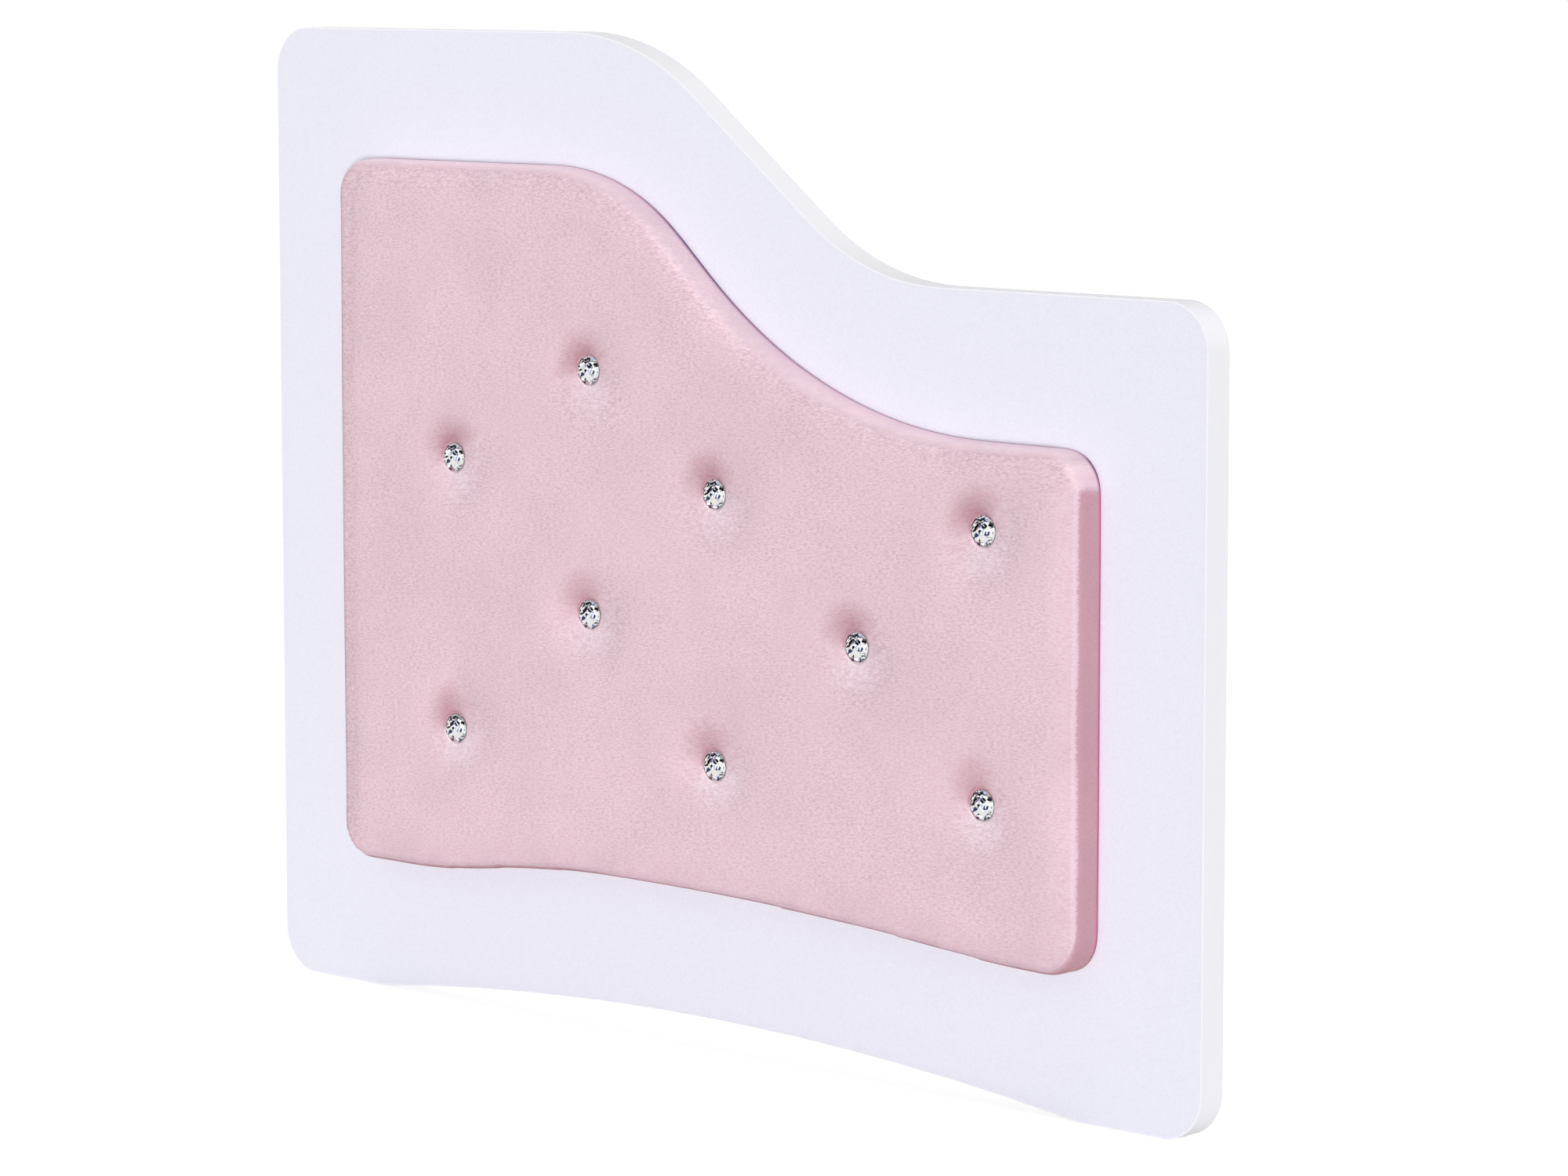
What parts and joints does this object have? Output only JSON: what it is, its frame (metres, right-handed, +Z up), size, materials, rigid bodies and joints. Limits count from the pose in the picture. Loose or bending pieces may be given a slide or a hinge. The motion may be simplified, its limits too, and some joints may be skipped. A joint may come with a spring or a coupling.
{
  "type": "upholstered headboard",
  "caption": "White panel headboard on two feet, its top falling in an S from high to low side, with a button-tufted pink velvet pad of the same outline on the front.",
  "frame": {"origin": "on the floor, under the middle of the object in width and depth", "axes": "+X along the panel towards its low side, +Y from the padded front to the back, +Z up"},
  "size_m": [0.9, 0.0486, 0.7155],
  "materials": {
    "laminate": "white melamine faces on a wood board, satin",
    "edging": "white plastic edging, satin",
    "plywood": "bare birch plywood",
    "foam": "cream upholstery foam",
    "wadding": "white polyester wadding",
    "velvet": "pale pink velvet with a soft nap",
    "steel": "plain wire",
    "zinc": "bright zinc plate",
    "crystal": "clear, polished facets",
    "button_metal": "bright plated",
    "twine": "waxed twine"
  },
  "bodies": {
    "root": {"bed_insert_nuts": "zinc", "board_panel": "laminate", "button_back_1": "button_metal", "button_back_2": "button_metal", "button_back_3": "button_metal", "button_back_4": "button_metal", "button_back_5": "button_metal", "button_back_6": "button_metal", "button_back_7": "button_metal", "button_back_8": "button_metal", "button_back_9": "button_metal", "button_cord_1": "twine", "button_cord_2": "twine", "button_cord_3": "twine", "button_cord_4": "twine", "button_cord_5": "twine", "button_cord_6": "twine", "button_cord_7": "twine", "button_cord_8": "twine", "button_cord_9": "twine", "cord_staples": "steel", "cover_staples": "steel", "crystal_1": "crystal", "crystal_2": "crystal", "crystal_3": "crystal", "crystal_4": "crystal", "crystal_5": "crystal", "crystal_6": "crystal", "crystal_7": "crystal", "crystal_8": "crystal", "crystal_9": "crystal", "edge_band": "edging", "pad_base": "plywood", "pad_foam": "foam", "pad_nuts": "zinc", "pad_screws": "zinc", "pad_wadding": "wadding", "velvet_cover": "velvet"}
  },
  "joints": []
}
